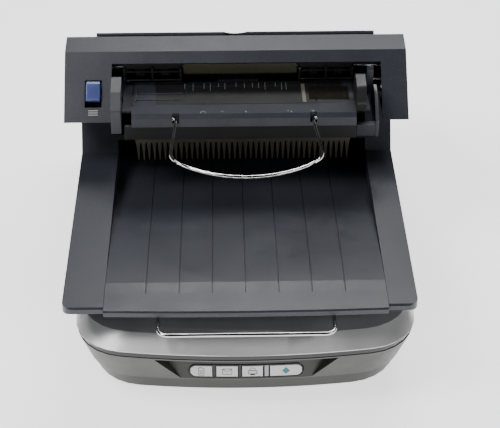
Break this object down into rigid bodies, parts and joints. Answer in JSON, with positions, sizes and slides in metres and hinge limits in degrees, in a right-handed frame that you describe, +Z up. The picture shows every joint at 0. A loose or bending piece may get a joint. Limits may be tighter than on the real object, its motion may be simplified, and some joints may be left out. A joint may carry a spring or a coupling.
{
  "type": "flatbed scanner",
  "caption": "Flatbed scanner with a sheet feeder in its lid, an output tray on top, a short input tray with wire supports and a sloped button panel.",
  "frame": {"origin": "on the floor, under the middle of the object's box", "axes": "+X right, +Y to the rear where the lid hinges, +Z up"},
  "size_m": [0.325, 0.444, 0.2017],
  "materials": {
    "shell_charcoal": "fine textured charcoal",
    "shell_grey": "satin dark grey",
    "base_grey": "fine textured warm dark grey",
    "silver": "satin silver paint",
    "light_grey": "satin light grey",
    "gloss_black": "polished black",
    "inner_black": "matt black",
    "comb_beige": "matt beige",
    "olive": "satin olive",
    "lever_blue": "satin blue",
    "mat_white": "matt white",
    "rubber": "matt rubber",
    "nylon": "satin natural nylon",
    "lamp_white": "white glass tube",
    "circuit_green": "green solder resist",
    "steel": "plain bright steel",
    "chrome": "polished chrome wire",
    "clear_glass": "clear flat glass"
  },
  "bodies": {
    "base": {"base_tub": "base_grey", "trim_band": "gloss_black", "base_top_frame": "silver", "platen_glass": "clear_glass", "feeder_window": "clear_glass", "foot_front_left": "rubber", "foot_rear_left": "rubber", "foot_front_right": "rubber", "foot_rear_right": "rubber", "button_bezel": "base_grey", "status_light": "light_grey", "guide_rod": "steel", "drive_belt": "rubber", "carriage_motor": "steel", "main_board": "circuit_green", "power_inlet": "inner_black", "usb_port": "inner_black"},
    "document_button": {"document_button": "silver"},
    "mail_button": {"mail_button": "silver"},
    "copy_button": {"copy_button": "silver"},
    "start_button": {"start_button": "silver"},
    "carriage": {"carriage_frame": "inner_black", "lamp_tube": "lamp_white"},
    "drive_pulley": {"drive_pulley": "nylon"},
    "idler_pulley": {"idler_pulley": "nylon"},
    "hinge_posts": {"hinge_post_left": "shell_charcoal", "hinge_post_right": "shell_charcoal"},
    "lid": {"lid_frame": "shell_charcoal", "lid_bottom": "shell_charcoal", "document_mat": "mat_white", "output_tray": "shell_charcoal", "feeder_side_left": "steel", "feeder_side_right": "steel", "feeder_belt": "rubber", "feeder_motor": "steel", "separation_pad": "rubber", "paper_chute": "inner_black", "paper_turn_guide": "inner_black", "feeder_underside": "inner_black", "exit_comb": "comb_beige"},
    "stop_wire": {"stop_wire": "chrome"},
    "pickup_roller": {"pickup_shaft": "steel", "pickup_tyre": "rubber"},
    "feed_roller": {"feed_shaft": "steel", "feed_tyre": "rubber"},
    "exit_roller": {"exit_roller": "rubber"},
    "cover": {"feeder_cover": "shell_charcoal", "idler_bracket_left": "inner_black", "idler_bracket_right": "inner_black", "guide_bar": "olive"},
    "release_lever": {"release_lever": "lever_blue"},
    "rear_flap": {"rear_flap": "shell_charcoal"},
    "pinch_roller_left": {"pinch_roller_left": "rubber"},
    "pinch_roller_right": {"pinch_roller_right": "rubber"},
    "input_tray": {"input_tray": "shell_charcoal", "tray_lower_panel": "inner_black", "left_guide": "shell_grey", "side_bracket": "shell_charcoal"},
    "edge_guide": {"edge_guide": "inner_black"},
    "support_wire": {"support_wire": "chrome"}
  },
  "joints": [
    {"name": "document_button_press", "type": "slide", "parent": "base", "child": "document_button", "axis": [0, 0.9848, -0.1736], "range_m": [0, 0.001], "stiffness_N_per_m": 400, "springref_m": -0.0005},
    {"name": "mail_button_press", "type": "slide", "parent": "base", "child": "mail_button", "axis": [0, 0.9848, -0.1736], "range_m": [0, 0.001], "stiffness_N_per_m": 400, "springref_m": -0.0005},
    {"name": "copy_button_press", "type": "slide", "parent": "base", "child": "copy_button", "axis": [0, 0.9848, -0.1736], "range_m": [0, 0.001], "stiffness_N_per_m": 400, "springref_m": -0.0005},
    {"name": "start_button_press", "type": "slide", "parent": "base", "child": "start_button", "axis": [0, 0.9848, -0.1736], "range_m": [0, 0.001], "stiffness_N_per_m": 400, "springref_m": -0.0005},
    {"name": "carriage_travel", "type": "slide", "parent": "base", "child": "carriage", "axis": [0, 1, 0], "range_m": [-0.318, 0]},
    {"name": "drive_pulley_spin", "type": "hinge", "parent": "base", "child": "drive_pulley", "pos_m": [0.041, 0.179, 0.03], "axis": [0, 0, 1], "range_deg": [-2900, 0]},
    {"name": "idler_pulley_spin", "type": "hinge", "parent": "base", "child": "idler_pulley", "pos_m": [0.041, -0.173, 0.03], "axis": [0, 0, 1], "range_deg": [-2900, 0]},
    {"name": "hinge_lift", "type": "slide", "parent": "base", "child": "hinge_posts", "axis": [0, 0, 1], "range_m": [0, 0.012]},
    {"name": "lid_hinge", "type": "hinge", "parent": "hinge_posts", "child": "lid", "pos_m": [0.005, 0.212, 0.08], "axis": [-1, 0, 0], "range_deg": [0, 65]},
    {"name": "stop_wire_pull", "type": "slide", "parent": "lid", "child": "stop_wire", "axis": [0, -1, 0], "range_m": [0, 0.045]},
    {"name": "feed_roller_spin", "type": "hinge", "parent": "lid", "child": "feed_roller", "pos_m": [0.002, 0.12, 0.1675], "axis": [1, 0, 0], "continuous": true},
    {"name": "pickup_roller_spin", "type": "hinge", "parent": "lid", "child": "pickup_roller", "pos_m": [0.002, 0.092, 0.171], "axis": [1, 0, 0], "continuous": true},
    {"name": "exit_roller_spin", "type": "hinge", "parent": "lid", "child": "exit_roller", "pos_m": [0.002, 0.084, 0.098], "axis": [1, 0, 0], "continuous": true},
    {"name": "cover_hinge", "type": "hinge", "parent": "lid", "child": "cover", "pos_m": [0, 0.214, 0.112], "axis": [-1, 0, 0], "range_deg": [0, 45]},
    {"name": "release_lever_pull", "type": "hinge", "parent": "cover", "child": "release_lever", "pos_m": [-0.1352, 0.05241, 0.15941], "axis": [1, 0, 0], "range_deg": [0, 14], "stiffness_Nm_per_rad": 0.2, "springref_deg": -2.86},
    {"name": "rear_flap_hinge", "type": "hinge", "parent": "cover", "child": "rear_flap", "pos_m": [0, 0.218, 0.1135], "axis": [-1, 0, 0], "range_deg": [0, 50]},
    {"name": "pinch_roller_left_spin", "type": "hinge", "parent": "cover", "child": "pinch_roller_left", "pos_m": [-0.08, 0.08, 0.1715], "axis": [1, 0, 0], "continuous": true},
    {"name": "pinch_roller_right_spin", "type": "hinge", "parent": "cover", "child": "pinch_roller_right", "pos_m": [0.0865, 0.08, 0.1715], "axis": [1, 0, 0], "continuous": true},
    {"name": "input_tray_tilt", "type": "hinge", "parent": "lid", "child": "input_tray", "pos_m": [0, 0.088, 0.1575], "axis": [-1, 0, 0], "range_deg": [0, 15]},
    {"name": "edge_guide_slide", "type": "slide", "parent": "input_tray", "child": "edge_guide", "axis": [-1, 0, 0], "range_m": [0, 0.11]},
    {"name": "support_wire_swing", "type": "hinge", "parent": "input_tray", "child": "support_wire", "pos_m": [0.00725, 0.005, 0.1625], "axis": [-1, 0, 0], "range_deg": [0, 85]}
  ],
  "couplings": [
    {"joint": "drive_pulley_spin", "follows": "carriage_travel", "rad_per_m": 158.73},
    {"joint": "idler_pulley_spin", "follows": "carriage_travel", "rad_per_m": 158.73},
    {"joint": "pickup_roller_spin", "follows": "feed_roller_spin", "ratio": 1},
    {"joint": "exit_roller_spin", "follows": "feed_roller_spin", "ratio": 1}
  ]
}
